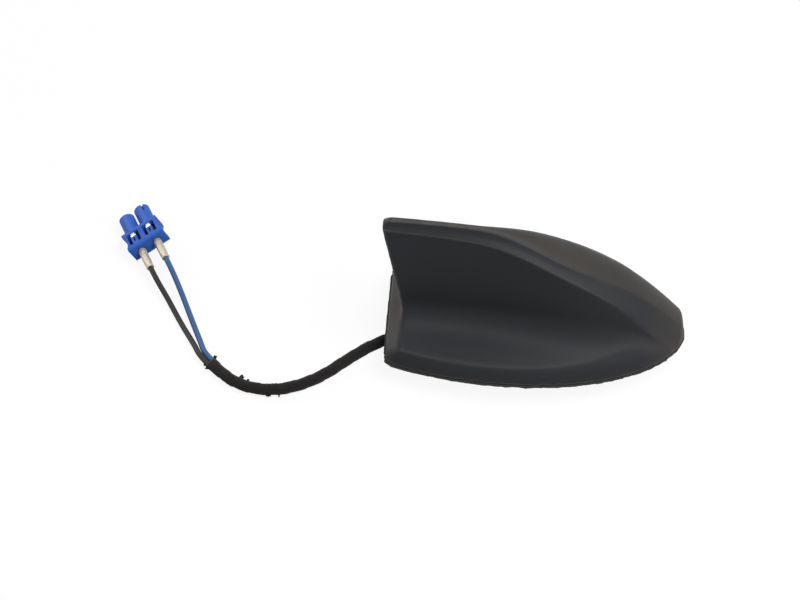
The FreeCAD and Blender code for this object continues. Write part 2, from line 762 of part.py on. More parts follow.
def inner_lead(side, name):
    """A lead inside the boss, from the grommet up to the board's window."""
    radius = size("lead_radius")
    height = size("seal_thickness") + size("plate_thickness") + size("standoff_height") + size("board_thickness")
    bend_radius = size("inner_lead_bend")
    run = size("inner_lead_run")
    grommet_end = -size("boss_length") / 2 + size("grommet_collar")
    start = Vec(grommet_end, size("grommet_side") + side * size("lead_pitch") / 2, -size("grommet_height"))
    corner = start + Vec(run + bend_radius, 0, 0)
    top = Vec(corner.x, corner.y, height)
    enter = start + Vec(run, 0, 0)
    leave = corner + Vec(0, 0, bend_radius)
    middle = corner + Vec(-1, 0, 1) * (bend_radius * (1 - math.sqrt(0.5)))
    path = Part.Wire([
        Part.LineSegment(start, enter).toShape(),
        Part.Arc(enter, middle, leave).toShape(),
        Part.LineSegment(leave, top).toShape(),
    ])
    section = Part.Wire(Part.makeCircle(radius, start, Vec(1, 0, 0)))
    node(formed(name + "_form", path.makePipeShell([section], True, False)), name)


def pigtail():
    """Grommet, taped bundle and the two leads, outside and inside."""
    plug = turned("grommet_turned", [
        ("0", "0"), ("grommet_collar_radius", "0"), ("grommet_collar_radius", "grommet_collar"),
        ("grommet_radius", "grommet_collar"), ("grommet_radius", "2 * grommet_collar"), ("0", "2 * grommet_collar"),
    ])
    plug.Placement.Rotation = FreeCAD.Rotation(Vec(0, 1, 0), 90)
    place(plug, "-boss_length / 2 - grommet_collar", "grommet_side", "-grommet_height")
    node(plug, "cable_grommet")
    inner_lead(1, "inner_black_lead")
    inner_lead(-1, "inner_blue_lead")
    node(formed("bundle_tube", tube(bundle_points(), size("bundle_radius"), "bundle")), "harness_wrap")
    radius = size("lead_radius")
    node(formed("black_tube", tube(lead_points(BLACK_ROUTE, 1), radius, "black lead")), "black_lead")
    node(formed("blue_tube", tube(lead_points(BLUE_ROUTE, -1), radius, "blue lead")), "blue_lead")


# Twin coax connector, drawn along its own +X with the rear face at x = 0

def housing():
    """Waisted block, two barrels, and a window over each contact with a latch tongue in it."""
    block = box("block", "block_length", "block_width", "block_height", "block_length / 2", "0", "-block_height / 2")
    shape = [block]
    tools = []
    for hand, sign in (("black", ""), ("blue", "-")):
        y = f"{sign}axis_pitch / 2"
        shape.append(rod(f"{hand}_barrel", "barrel_radius", "barrel_length + block_length / 2",
                         "block_length / 2", y, "0", lying=True))
        tools.append(rod(f"{hand}_bore", "barrel_bore", "barrel_length - barrel_floor + fit_gap",
                         "block_length + barrel_floor", y, "0", lying=True))
        tools.append(rod(f"{hand}_rear_bore", "rear_bore", "block_length + barrel_floor", "0", y, "0", lying=True))
        middle = "block_length - window_front_wall - window_length / 2"
        window = box(f"{hand}_window_room", "window_length", "window_width", "window_depth", middle, y,
                     "block_height / 2 - window_depth")
        tongue_middle = f"{middle} - (window_length - tongue_length) / 2"
        tongue = box(f"{hand}_tongue", "tongue_length", "tongue_width", "tongue_height",
                     tongue_middle, y, "block_height / 2 - tongue_height")
        slit = box(f"{hand}_tongue_slit", "tongue_slit_length", "tongue_slit_width", "tongue_height",
                   tongue_middle, y, "block_height / 2 - tongue_height")
        tools.append(cut(f"{hand}_window", window, cut(f"{hand}_slit_tongue", tongue, slit)))
        tools.append(rod(f"{hand}_waist", "waist_radius", "block_height", "block_length / 2",
                         f"{sign}(block_width / 2 + waist_radius - block_waist)", "-block_height / 2"))
    tools.append(box("key_slot", "key_slot_length", "key_slot_width", "key_slot_depth",
                     "block_length + barrel_length - key_slot_length / 2", "-axis_pitch / 2 - key_slot_side",
                     "barrel_radius - key_slot_depth"))
    return cut("housing_cut", fuse("housing_blank", *shape), *tools)


def coax_set(hand, sign):
    """Outer contact, insulator, centre contact and crimp ferrule on one axis of the connector."""
    y = f"{sign}axis_pitch / 2"
    collar_place = "block_length - window_front_wall - window_length + tongue_length + collar_gap"
    sleeve = cut(
        f"{hand}_sleeve",
        fuse(
            f"{hand}_stepped_sleeve",
            rod(f"{hand}_sleeve_out", "contact_radius", "contact_front", "0", y, "0", lying=True),
            rod(f"{hand}_collar", "collar_radius", "collar_length", collar_place, y, "0", lying=True),
        ),
        rod(f"{hand}_sleeve_in", "contact_radius - contact_wall", "contact_front", "0", y, "0", lying=True),
    )
    plug = cut(
        f"{hand}_plug",
        rod(f"{hand}_plug_out", "contact_radius - contact_wall", "insulator_front", "0", y, "0", lying=True),
        rod(f"{hand}_plug_in", "centre_pin_radius", "insulator_front", "0", y, "0", lying=True),
    )
    pin_rod = rod(f"{hand}_pin_rod", "centre_pin_radius", "centre_pin_front", "0", y, "0", lying=True)
    pin = group(f"{hand}_pin", pin_rod)
    ferrule = cut(
        f"{hand}_crimp",
        rod(f"{hand}_crimp_out", "ferrule_radius", "ferrule_tail", "-ferrule_tail", y, "0", lying=True),
        rod(f"{hand}_crimp_in", "ferrule_radius - ferrule_wall", "ferrule_nose", "-ferrule_nose", y, "0", lying=True),
    )
    return {
        f"{hand}_outer_contact": sleeve,
        f"{hand}_insulator": plug,
        f"{hand}_centre_contact": pin,
        f"{hand}_crimp_ferrule": ferrule,
    }


def connector():
    """The twin connector's pieces, moved to where it lies."""
    pieces = {"connector_housing": housing()}
    for hand, sign in (("black", ""), ("blue", "-")):
        pieces.update(coax_set(hand, sign))
    for label, item in pieces.items():
        node(item, label)
    return pieces


def lay_connector(pieces):
    """Turn and move each finished piece of the connector to its place on the floor."""
    where = connector_placement()
    for item in pieces.values():
        item.Placement = where.multiply(item.Placement)


def check_and_write():
    """Stop on any failed object or bad solid, then write one file for each sub-part."""
    for item in doc.Objects:
        bad = [s for s in item.State if s in ("Invalid", "Error")]
        if bad:
            raise RuntimeError(f"{item.Name} failed to recompute")
    for item in nodes:
        if item.Shape.isNull() or not item.Shape.isValid() or not item.Shape.Solids:
            raise RuntimeError(f"{item.Label} is not a sound solid")
    os.makedirs("parts", exist_ok=True)
    for item in nodes:
        item.Shape.exportStep(f"parts/{item.Label}.step")
    print(len(nodes), "sub-parts written")


fill_sheet()
fin_cover()
base_and_seals()
fasteners()
electronics()
pigtail()
connector_pieces = connector()
doc.recompute()
lay_connector(connector_pieces)
doc.recompute()
check_and_write()
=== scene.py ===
"""Looks of a roof antenna: fin cover, seal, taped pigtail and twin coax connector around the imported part."""

import bisect
import math

import bmesh
import bpy
from bpy.props import FloatProperty, FloatVectorProperty, PointerProperty
from mathutils import Matrix, Vector, noise


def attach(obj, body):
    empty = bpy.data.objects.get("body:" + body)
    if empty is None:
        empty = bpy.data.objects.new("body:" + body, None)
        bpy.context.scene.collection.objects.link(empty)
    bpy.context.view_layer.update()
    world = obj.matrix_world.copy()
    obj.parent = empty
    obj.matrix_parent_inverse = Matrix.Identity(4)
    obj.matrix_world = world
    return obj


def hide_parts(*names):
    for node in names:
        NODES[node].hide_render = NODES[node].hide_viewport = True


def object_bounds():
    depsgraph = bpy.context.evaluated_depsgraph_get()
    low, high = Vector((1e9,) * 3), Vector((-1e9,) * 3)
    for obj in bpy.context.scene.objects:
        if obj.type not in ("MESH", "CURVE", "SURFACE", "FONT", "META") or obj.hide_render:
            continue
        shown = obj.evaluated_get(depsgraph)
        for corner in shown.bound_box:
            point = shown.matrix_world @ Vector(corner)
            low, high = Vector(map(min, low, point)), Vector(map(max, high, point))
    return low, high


bl_info = {
    "name": "Roof antenna dressing",
    "version": (1, 0, 0),
    "blender": (4, 5, 0),
    "location": "View3D > Sidebar > Antenna",
    "description": "Builds the finishes and fine pieces of a shark-fin roof antenna",
    "category": "Object",
}

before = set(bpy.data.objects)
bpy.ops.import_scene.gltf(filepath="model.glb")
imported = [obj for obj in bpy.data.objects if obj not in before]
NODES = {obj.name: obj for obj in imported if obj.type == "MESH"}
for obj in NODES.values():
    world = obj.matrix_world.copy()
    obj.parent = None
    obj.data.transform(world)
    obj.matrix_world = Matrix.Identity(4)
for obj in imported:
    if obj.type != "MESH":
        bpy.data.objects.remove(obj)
CAD_BOX = [list(corner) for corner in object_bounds()]
FLOOR_LEVEL = CAD_BOX[0][2]
MM = 0.001
UP = Vector((0, 0, 1))
WHITE = (1.0, 1.0, 1.0, 1.0)

# Stage: half the floor's side in metres, its dullness, and the white and the glow that it shows to the camera
FLOOR_REACH = 6.0
FLOOR_ROUGHNESS = 0.9
FLOOR_WHITE = (0.9, 0.9, 0.9, 1.0)
FLOOR_GLOW = 0.9
# Camera: place in metres, turn in degrees, sensor and lens in millimetres
CAMERA_PLACE = (-0.0317, -0.4383, 0.5357)
CAMERA_TURN = (40.0, 0.0, 4.0)
CAMERA_SENSOR = 36.0
CAMERA_LENS = 61.4
# Lamps: name, place and width in metres, and share of the key light's power
LAMP_AIM = Vector((0.0, 0.0, 0.02))
LAMPS = (
    ("key_lamp", (0.36, -0.14, 0.96), 0.6, 0.9),
    ("side_lamp", (0.8, -0.46, 0.49), 0.6, 0.22),
    ("rear_lamp", (-0.95, 0.75, 0.5), 0.8, 0.55),
)

# Edges that turn by more than these angles stay hard, on moulded pieces and on the crimps
SHARP_ANGLE = math.radians(32.0)
CRIMP_SHARP = math.radians(24.0)
# A copied CAD mesh: corners this close become one, and faces within this angle of one plane are joined
MERGE_REACH = 0.005 * MM
FLAT_ANGLE = math.radians(1.0)
BEVEL_STEPS = 2
# Rounding of the cover's skin: share of the way to the neighbours in a pass, and passes over the whole skin
EASE_SHARE = 0.5
SKIN_PASSES = 2
# Heights in millimetres between which the cover's shoulder is rounded further
SHOULDER_BAND = (4.5, 15.0)
SHOULDER_PASSES = 6
# Skin that faces rearwards past this share, with some rows beside it, is rounded further too
REAR_FACING = -0.25
REAR_ROWS = 3
REAR_PASSES = 12
# The cover's rear end, length, half width and height in millimetres, and shares of them along its two creases
COVER_REAR, COVER_LENGTH, COVER_HALF, COVER_HEIGHT = -68.0, 148.5, 41.5, 71.2
STATIONS = (-0.135, 0.067, 0.229, 0.35, 0.458, 0.579, 0.727, 0.875, 1.104)
UPPER_CREASE = (
    (0.043, 1.006), (0.038, 0.994), (0.029, 0.97), (0.049, 0.933), (0.135, 0.861),
    (0.212, 0.737), (0.214, 0.594), (0.183, 0.404), (0.15, -0.14),
)
LOWER_CREASE = (
    (0.101, 0.963), (0.106, 0.934), (0.119, 0.905), (0.159, 0.876), (0.247, 0.809),
    (0.324, 0.685), (0.359, 0.526), (0.381, 0.274), (0.279, -0.319),
)
CREASE_ORDER = 4
# Skin belongs to a side band within this many millimetres, if it faces the same way past this share
BAND_REACH = 1.6
BAND_FACING = 0.5
# Places along X in millimetres between which a band's hollow runs out
BAND_END = (56.0, 76.0)

# Masks on the cover: where each starts, where it is full, and its least and greatest share
COVER_MASKS = {
    # sideways lean of the skin, which is small on the hood, where sun browning and painted light lie
    "hood": (0.5, 0.3, 0.0, 1.0),
    # height in millimetres, with a share of the place along X added
    "height": (25.0, 60.0, 0.0, 1.0),
    # place along X in millimetres, which lays painted light on the nose
    "nose": (56.0, 80.0, 0.0, 1.0),
    # how far the skin faces forwards, which lays painted light on the rear-facing skin
    "rear": (-0.3, -0.7, 0.0, 1.0),
    # noise in patches
    "patch": (0.3, 0.7, 0.7, 1.0),
    # how pointed the skin is, which lays a painted highlight along the ridges and creases
    "ridge": (0.51, 0.545, 0.0, 0.55),
    # noise in specks
    "speck": (0.83, 0.87, 0.0, 0.6),
}
HEIGHT_SLANT = 0.6
# Size of the patches in which the sun's browning and the painted light lie, and depth of the grain in
# millimetres, and how far the dullness varies
PATCH_SIZE = 26.0
GRAIN_DEPTH = 0.05
GRAIN_STRENGTH = 0.35
DULL_SPREAD = (-0.06, 0.08)

# The seal's lip: length of its waves, how often its edges are halved, and each wave's pitch and height
LIP_STEP = 1.3 * MM
LIP_CUTS = 6
LIP_MIDDLE = 0.5
LIP_WAVES = ((0.4, 0.5), (1.3, 0.4))
# The seal's rim: its faces look up by less than a share, its lines are level, and its rear faces back
RIM_UPRIGHT = 0.5
RIM_LEVEL = 0.01 * MM
RIM_REAR = -0.8

# Routes of the pigtail in millimetres, the same points that the solids follow, and the lengths along them
BUNDLE_ROUTE = (
    (-25.4, -2.0, -6.0), (-36.4, -2.0, -6.0), (-50.5, -3.0, -7.5), (-63.5, -6.3, -9.05),
    (-75.5, -12.8, -9.05), (-86.5, -22.4, -9.05), (-97.5, -33.2, -9.05), (-107.8, -40.0, -9.05),
    (-118.5, -44.0, -9.05), (-129.3, -44.7, -9.05), (-139.3, -42.2, -9.05), (-148.2, -36.9, -9.05),
    (-155.6, -29.8, -9.05),
)
BLACK_ROUTE = (
    (-156.6, -30.85, -9.05), (-161.66, -26.0, -9.05), (-165.6, -18.8, -9.9), (-175.2, -4.6, -10.5),
    (-184.6, 10.4, -9.0), (-191.78, 19.84, -5.5), (-196.28, 27.63, -5.5),
)
BLUE_ROUTE = (
    (-154.6, -28.75, -9.05), (-159.65, -23.9, -9.05), (-162.6, -17.2, -9.9), (-169.8, -2.6, -9.6),
    (-177.6, 13.2, -6.8), (-184.02, 24.32, -2.06), (-188.52, 32.12, -2.06),
)
BUNDLE_LENGTH, BLACK_LENGTH, BLUE_LENGTH = 147.4, 71.3, 70.9
ROUTE_ORDER = 3
ROUTE_STEPS = 10
LEAD_ROUND = 6
# Taped bundle: sides of its tube, length of its fuzz for each unit of height, and its change at the split
TAPE_SIDES = 24
FUZZ_LENGTH = 6
SPLIT_WIDEN, SPLIT_FLATTEN = 0.14, 0.34
# Torn tongues of tape in millimetres: start, heading in degrees, length, width and curl
TAPE_TONGUES = (
    ((-156.2, -29.6, -8.4), 231.0, 3.3, 2.2, -0.5), ((-153.6, -32.4, -8.4), 202.0, 3.6, 1.7, 0.5),
    ((-154.2, -28.0, -8.2), 68.0, 2.0, 1.8, 0.4), ((-139.6, -40.3, -7.9), 50.0, 2.7, 2.8, 0.8),
    ((-135.8, -41.9, -7.8), 67.0, 2.2, 1.5, 0.3), ((-124.4, -45.9, -9.4), 282.0, 2.3, 3.0, -0.3),
    ((-120.2, -45.4, -9.4), 309.0, 2.6, 0.9, -0.3),
)
# A tongue's cells each way, tears across it, their share of its length, its crumple and its taper
TONGUE_CELLS = 6
TEAR_PITCH = 3
TEAR_SHARE = 0.35
CRUMPLE = 0.3
TONGUE_TAPER = 0.25

# Where the connector lies, in millimetres, with its heading, its roll and the offset of its two axes
CONNECTOR_PLACE = (-199.4, 42.0, -3.778)
CONNECTOR_HEADING = math.radians(120.0)
CONNECTOR_ROLL = math.radians(-21.0)
AXIS_OFFSET = 4.8
TURNED_STEPS = 48
# Half section of a crimp ferrule in millimetres: place along the axis and radius
FERRULE_PROFILE = (
    (-14.0, 1.46), (-14.0, 1.95), (-13.8, 2.12), (-13.3, 2.15), (-12.9, 2.02), (-11.6, 2.02), (-11.2, 2.03),
    (-10.6, 2.05), (-9.4, 2.05), (-8.0, 2.05), (-6.6, 2.05), (-5.4, 2.05), (-4.8, 2.03), (-4.4, 2.02),
    (-3.6, 2.02), (-3.3, 2.15), (-0.4, 2.15), (-0.02, 2.0), (-0.02, 1.46),
)
# The crimp: where it is pressed along the axis, how many flats it has and their distance from the axis
CRIMP_ZONE = (-11.4, -4.6)
CRIMP_SIDES = 6
CRIMP_FLAT = 1.9
# Half section of the liner in a barrel's mouth, in millimetres
LINER_PROFILE = ((19.4, 3.0), (19.4, 3.28), (24.6, 3.28), (24.6, 3.0))
# A contact's locking tab in millimetres: middle, size, step, length of its nose and rounding
TAB_MIDDLE = (8.5, 0.0, 2.9)
TAB_SIZE = (1.2, 3.0, 2.6)
TAB_STEP = 0.5
TAB_NOSE = 1.2
TAB_ROUND = 0.15
# How far a plate's dullness varies, and the detail of a casting's grit
PLATE_SPREAD = (-0.08, 0.12)
GRIT_DETAIL = 3.0


def linear(code):
    """An sRGB hex colour as linear red, green and blue."""
    values = [int(code[i:i + 2], 16) / 255 for i in (1, 3, 5)]
    return tuple(v / 12.92 if v <= 0.04045 else ((v + 0.055) / 1.055) ** 2.4 for v in values)


def opaque(colour):
    """A colour with full alpha."""
    return (*colour, 1.0)


def shaded(colour, factor):
    """A colour made lighter or darker, with full alpha."""
    return opaque(min(c * factor, 1.0) for c in colour)


# Painted highlight along the cover's ridges and creases, and the colour of its dust specks
RIDGE_HIGHLIGHT_COLOUR = linear("#66635f")
DUST_COLOUR = linear("#8d8983")


# Settings

class CoverSettings(bpy.types.PropertyGroup):
    """Moulded cover and the seal under it."""
    colour: FloatVectorProperty(
        name="Colour", description="Body colour of the moulded cover", subtype="COLOR", size=3,
        default=linear("#232427"))
    # Sun-browned colour, also laid on as painted light: a lighter tone on the hood, the nose and the
    # rear-facing skin
    faded_and_lit_colour: FloatVectorProperty(
        name="Faded colour", description="Colour that the sun has browned", subtype="COLOR", size=3,
        default=linear("#363330"))
    dust: FloatProperty(
        name="Dust", description="Spacing of dust specks in millimetres", min=0.2, max=10, default=1.6)
    roughness: FloatProperty(
        name="Roughness", description="How dull the moulded skin is", subtype="FACTOR", min=0, max=1,
        default=0.5)
    grain: FloatProperty(
        name="Grain", description="Width of the moulded grain in millimetres", min=0.1, max=5, default=0.7)
    seal_lip: FloatProperty(
        name="Seal lip", description="How far the seal squeezes out under the cover", unit="LENGTH",
        default=0.8 * MM)
    rear_fringe: FloatProperty(
        name="Rear fringe", description="How far the seal's torn rear edge stands out", unit="LENGTH",
        default=1.7 * MM)
    band_hollow: FloatProperty(
        name="Band hollow", description="How far the side bands dip between their creases", unit="LENGTH",
        default=0.5 * MM)
    skin_step: FloatProperty(
        name="Skin step", description="Size of the even faces of the cover's skin", unit="LENGTH",
        default=0.8 * MM)


class PigtailSettings(bpy.types.PropertyGroup):
    """Taped bundle and leads."""
    bundle_diameter: FloatProperty(
        name="Bundle diameter", description="Across the taped bundle", unit="LENGTH", default=5.8 * MM)
    lead_diameter: FloatProperty(
        name="Lead diameter", description="Across one coax lead", unit="LENGTH", default=2.9 * MM)
    tape_pitch: FloatProperty(
        name="Tape pitch", description="Advance of the tape in one turn", unit="LENGTH", default=9.0 * MM)
    tape_thickness: FloatProperty(
        name="Tape thickness", description="Step at the tape's free edge", unit="LENGTH", default=0.3 * MM)
    tape_fuzz: FloatProperty(
        name="Tape fuzz", description="Relief of the tape's loose fibres", unit="LENGTH", default=0.18 * MM)
    split_run: FloatProperty(
        name="Split run", description="Length over which the bundle flattens", unit="LENGTH",
        default=14.0 * MM)
    tape_colour: FloatVectorProperty(
        name="Tape colour", description="Colour of the cloth tape", subtype="COLOR", size=3,
        default=linear("#1c1a19"))
    black_colour: FloatVectorProperty(
        name="Black lead", description="Colour of the black jacket", subtype="COLOR", size=3,
        default=linear("#2a2a2a"))
    blue_colour: FloatVectorProperty(
        name="Blue lead", description="Colour of the blue jacket", subtype="COLOR", size=3,
        default=linear("#395b88"))


class ConnectorSettings(bpy.types.PropertyGroup):
    """Twin coax connector."""
    colour: FloatVectorProperty(
        name="Colour", description="Colour of the connector's plastic", subtype="COLOR", size=3,
        default=linear("#285bb6"))
    edge_round: FloatProperty(
        name="Edge round", description="Rounding of moulded edges", unit="LENGTH", default=0.3 * MM)


class StageSettings(bpy.types.PropertyGroup):
    """Floor and light."""
    floor_colour: FloatVectorProperty(
        name="Floor", description="Colour that the floor throws back", subtype="COLOR", size=3,
        default=linear("#a0a0a0"))
    key_power: FloatProperty(
        name="Key light", description="Power that each lamp takes its share of", unit="POWER", default=11.0)
    sky: FloatProperty(
        name="Sky", description="Strength of the even light from all round", min=0, max=2, default=0.25)


# Materials

def add_node(tree, kind, inputs=None, **settings):
    """Add a node, set its properties, and set or link its inputs."""
    item = tree.nodes.new(kind)
    for name, value in settings.items():
        setattr(item, name, value)
    for key, value in (inputs or {}).items():
        if isinstance(value, bpy.types.NodeSocket):
            tree.links.new(value, item.inputs[key])
        else:
            item.inputs[key].default_value = value
    return item


def new_material(name, colour, roughness, metallic=0.0, specular=0.5, sheen=0.0):
    """A material with one shader, and its place on the piece in millimetres.

    The shader's own IOR of 1.5 fits the plastics and the rubber, and the metals keep it.
    """
    material = bpy.data.materials.new(name)
    material.use_nodes = True
    tree = material.node_tree
    shader = tree.nodes["Principled BSDF"]
    shader.inputs["Base Color"].default_value = opaque(colour)
    shader.inputs["Roughness"].default_value = roughness
    shader.inputs["Metallic"].default_value = metallic
    shader.inputs["Specular IOR Level"].default_value = specular
    shader.inputs["Sheen Weight"].default_value = sheen
    where = add_node(tree, "ShaderNodeTexCoord")
    place = add_node(tree, "ShaderNodeVectorMath", {0: where.outputs["Object"], 3: 1 / MM}, operation="SCALE")
    return material, tree, shader, place.outputs[0]


def weathered(
        blank, colour, spread, patch_mm, detail=4.0, dull=None, depth_mm=0.0, strength=0.0, grit_mm=None):
    """Vary a new material softly in patches: its colour and, where given, its dullness and its relief."""
    material, tree, shader, place = blank
    cloud = add_node(tree, "ShaderNodeTexNoise", {"Vector": place, "Scale": 1 / patch_mm, "Detail": detail})
    mixed = add_node(tree, "ShaderNodeMix", {
        0: cloud.outputs[0], 6: shaded(colour, 1 - spread), 7: shaded(colour, 1 + spread),
    }, data_type="RGBA")
    tree.links.new(mixed.outputs[2], shader.inputs["Base Color"])
    if dull:
        low, high = dull
        rough = add_node(tree, "ShaderNodeMapRange", {
            "Value": cloud.outputs[0], "To Min": low, "To Max": high})
        tree.links.new(rough.outputs[0], shader.inputs["Roughness"])
    if depth_mm:
        relief = cloud
        if grit_mm:
            relief = add_node(tree, "ShaderNodeTexNoise", {
                "Vector": place, "Scale": 1 / grit_mm, "Detail": GRIT_DETAIL})
        bump = add_node(tree, "ShaderNodeBump", {
            "Height": relief.outputs[0], "Distance": depth_mm * MM, "Strength": strength})
        tree.links.new(bump.outputs[0], shader.inputs["Normal"])
    return material


def moulded_asa(settings):
    """Moulded outdoor plastic: dull satin with a fine grain, browned by the sun, with painted light as a
    lighter tone on the hood, the nose and the rear-facing skin, and a painted highlight along its ridges.
    """
    material, tree, shader, place = new_material(
        "moulded ASA", settings.colour, settings.roughness, specular=0.18)
    spot = add_node(tree, "ShaderNodeSeparateXYZ", {0: place})
    skin = add_node(tree, "ShaderNodeNewGeometry")
    facing = add_node(tree, "ShaderNodeSeparateXYZ", {0: skin.outputs["Normal"]})
    lean = add_node(tree, "ShaderNodeMath", {0: facing.outputs[1]}, operation="ABSOLUTE")
    slant = add_node(tree, "ShaderNodeMath", {
        0: spot.outputs[0], 1: HEIGHT_SLANT, 2: spot.outputs[2]}, operation="MULTIPLY_ADD")
    noises = [
        add_node(tree, "ShaderNodeTexNoise", {"Vector": place, "Scale": 1 / size_mm, "Detail": detail})
        for size_mm, detail in ((PATCH_SIZE, 5.0), (settings.dust, 1.0), (settings.grain, 2.0))
    ]
    patch, speck, grain = (item.outputs[0] for item in noises)
    sources = {
        "hood": lean.outputs[0], "height": slant.outputs[0], "nose": spot.outputs[0],
        "rear": facing.outputs[0], "patch": patch, "ridge": skin.outputs["Pointiness"], "speck": speck,
    }
    masks = {}
    for name, (start, full, least, most) in COVER_MASKS.items():
        mask = add_node(tree, "ShaderNodeMapRange", {
            "Value": sources[name], "From Min": start, "From Max": full, "To Min": least, "To Max": most})
        masks[name] = mask.outputs[0]
    # Share of the faded colour: sun browning, and painted light on the hood, the nose and the rear-facing skin
    faded_and_lit = masks["hood"]
    for name, how in (
        ("height", "MULTIPLY"), ("nose", "MAXIMUM"), ("rear", "MAXIMUM"), ("patch", "MULTIPLY"),
    ):
        faded_and_lit = add_node(tree, "ShaderNodeMath", {0: faded_and_lit, 1: masks[name]}, operation=how).outputs[0]
    body = opaque(settings.colour)
    # Faded colour with its painted light, then the painted highlight on the ridges, then the dust specks
    for share, colour in (
        (faded_and_lit, settings.faded_and_lit_colour), (masks["ridge"], RIDGE_HIGHLIGHT_COLOUR), (masks["speck"], DUST_COLOUR),
    ):
        layer = add_node(tree, "ShaderNodeMix", {0: share, 6: body, 7: opaque(colour)}, data_type="RGBA")
        body = layer.outputs[2]
    tree.links.new(body, shader.inputs["Base Color"])
    low, high = (settings.roughness + v for v in DULL_SPREAD)
    rough = add_node(tree, "ShaderNodeMapRange", {"Value": patch, "To Min": low, "To Max": high})
    tree.links.new(rough.outputs[0], shader.inputs["Roughness"])
    bump = add_node(tree, "ShaderNodeBump", {
        "Height": grain, "Distance": GRAIN_DEPTH * MM, "Strength": GRAIN_STRENGTH})
    tree.links.new(bump.outputs[0], shader.inputs["Normal"])
    return material


def sealing_rubber():
    """Moulded EPDM: near black and dull, with a dusty bloom."""
    colour = linear("#191919")
    rubber = new_material("moulded EPDM", colour, roughness=0.75)
    return weathered(rubber, colour, spread=0.25, patch_mm=3.0, depth_mm=0.1, strength=0.3)


def die_cast_alloy():
    """Die-cast aluminium: grey, slightly rough, with flow marks."""
    colour = linear("#a7a9ab")
    alloy = new_material("die-cast aluminium", colour, roughness=0.48, metallic=1.0)
    return weathered(alloy, colour, spread=0.12, patch_mm=6.0, dull=(0.4, 0.6),
                     depth_mm=0.04, strength=0.4, grit_mm=0.6)


def plated_metal(name, code, roughness, patch_mm, spread):
    """Plated metal: bright, with faint tarnish in patches."""
    colour = linear(code)
    plate = new_material(name, colour, roughness, metallic=1.0)
    return weathered(plate, colour, spread, patch_mm, dull=[roughness + v for v in PLATE_SPREAD])


def dull_plating():
    """Old nickel plate over a crimp: creamy, scuffed and blotchy, with half its shine gone."""
    colour = linear("#bfb5a3")
    plate = new_material("dulled nickel plate", colour, roughness=0.5, metallic=0.55)
    return weathered(plate, colour, spread=0.3, patch_mm=0.9, detail=6.0, dull=(0.4, 0.65),
                     depth_mm=0.08, strength=0.5)


def glass_fibre_laminate():
    """Green solder mask over woven glass: the weave just shows."""
    colour = linear("#1d5a36")
    weave_mm, contrast = 1.2, 0.08
    material, tree, shader, place = new_material("glass-fibre laminate", colour, roughness=0.35)
    weave = add_node(tree, "ShaderNodeTexChecker", {"Vector": place, "Scale": 1 / weave_mm})
    mixed = add_node(tree, "ShaderNodeMix", {
        0: weave.outputs[1], 6: shaded(colour, 1 - contrast), 7: shaded(colour, 1 + contrast),
    }, data_type="RGBA")
    tree.links.new(mixed.outputs[2], shader.inputs["Base Color"])
    return material


def dull_solid(name, colour, roughness, patch_mm, spread, depth_mm, specular=0.5):
    """A plain moulded or fired material with a soft variation and a fine relief."""
    solid = new_material(name, colour, roughness, specular=specular)
    return weathered(solid, colour, spread, patch_mm, depth_mm=depth_mm, strength=0.3)


def cloth_tape(colour):
    """Flocked cloth tape: black, soft and fuzzy, with lint."""
    tape = new_material("flocked cloth tape", colour, roughness=0.95, specular=0.2, sheen=0.1)
    return weathered(tape, colour, spread=0.35, patch_mm=1.4, detail=6.0, depth_mm=0.3, strength=0.6)


def coax_jacket(name, colour):
    """Extruded jacket: smooth satin, with faint unevenness from the drawing."""
    jacket = new_material(name, colour, roughness=0.42, specular=0.25)
    return weathered(jacket, colour, spread=0.1, patch_mm=4.0, dull=(0.36, 0.5), depth_mm=0.05, strength=0.2)


# Shared shaping

def coat(node, material):
    """Put a material on a CAD node, whose mesh stays as it is."""
    materials = NODES[node].data.materials
    materials.clear()
    materials.append(material)


def dress(piece, material, node=None):
    """Put a material on a new piece, with its body and the CAD node that it stands for."""
    piece.data.materials.append(material)
    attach(piece, "root")
    if node:
        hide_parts(node)
    return piece


def piece_from(name, shape):
    """A new object at the origin whose mesh comes from a bmesh."""
    mesh = bpy.data.meshes.new(name)
    shape.to_mesh(mesh)
    shape.free()
    piece = bpy.data.objects.new(name, mesh)
    bpy.context.scene.collection.objects.link(piece)
    return piece


def merged_copy(node):
    """A bmesh of a CAD node with its loose triangles joined."""
    shape = bmesh.new()
    shape.from_mesh(NODES[node].data)
    bmesh.ops.remove_doubles(shape, verts=shape.verts, dist=MERGE_REACH)
    return shape


def ease(shape, verts, passes):
    """Even out a skin by moving each corner towards its neighbours."""
    for _ in range(passes):
        bmesh.ops.smooth_vert(
            shape, verts=verts, factor=EASE_SHARE, use_axis_x=True, use_axis_y=True, use_axis_z=True)


def resurfaced(shape, step):
    """Small even faces over a shape, with its edges eased as moulding leaves them."""
    blank = piece_from("blank", shape)
    even = blank.modifiers.new("even faces", "REMESH")
    even.mode = "VOXEL"
    even.voxel_size = step
    fine = bmesh.new()
    fine.from_object(blank, bpy.context.evaluated_depsgraph_get())
    bpy.data.objects.remove(blank)
    ease(fine, fine.verts, SKIN_PASSES)
    for face in fine.faces:
        face.smooth = True
    return fine


def round_edges(shape, edges, width):
    """Round edges as moulding or pressing leaves them."""
    bmesh.ops.bevel(shape, geom=edges, offset=width, offset_type="OFFSET", segments=BEVEL_STEPS, profile=0.5,
                    affect="EDGES", clamp_overlap=True, material=-1)


def rounded_copy(node, width):
    """A copy of a CAD node with its hard edges rounded a little."""
    shape = merged_copy(node)
    bmesh.ops.dissolve_limit(shape, angle_limit=FLAT_ANGLE, verts=shape.verts, edges=shape.edges)
    hard = [e for e in shape.edges if len(e.link_faces) == 2 and e.calc_face_angle(0.0) > SHARP_ANGLE]
    round_edges(shape, hard, width)
    soften(shape)
    return shape


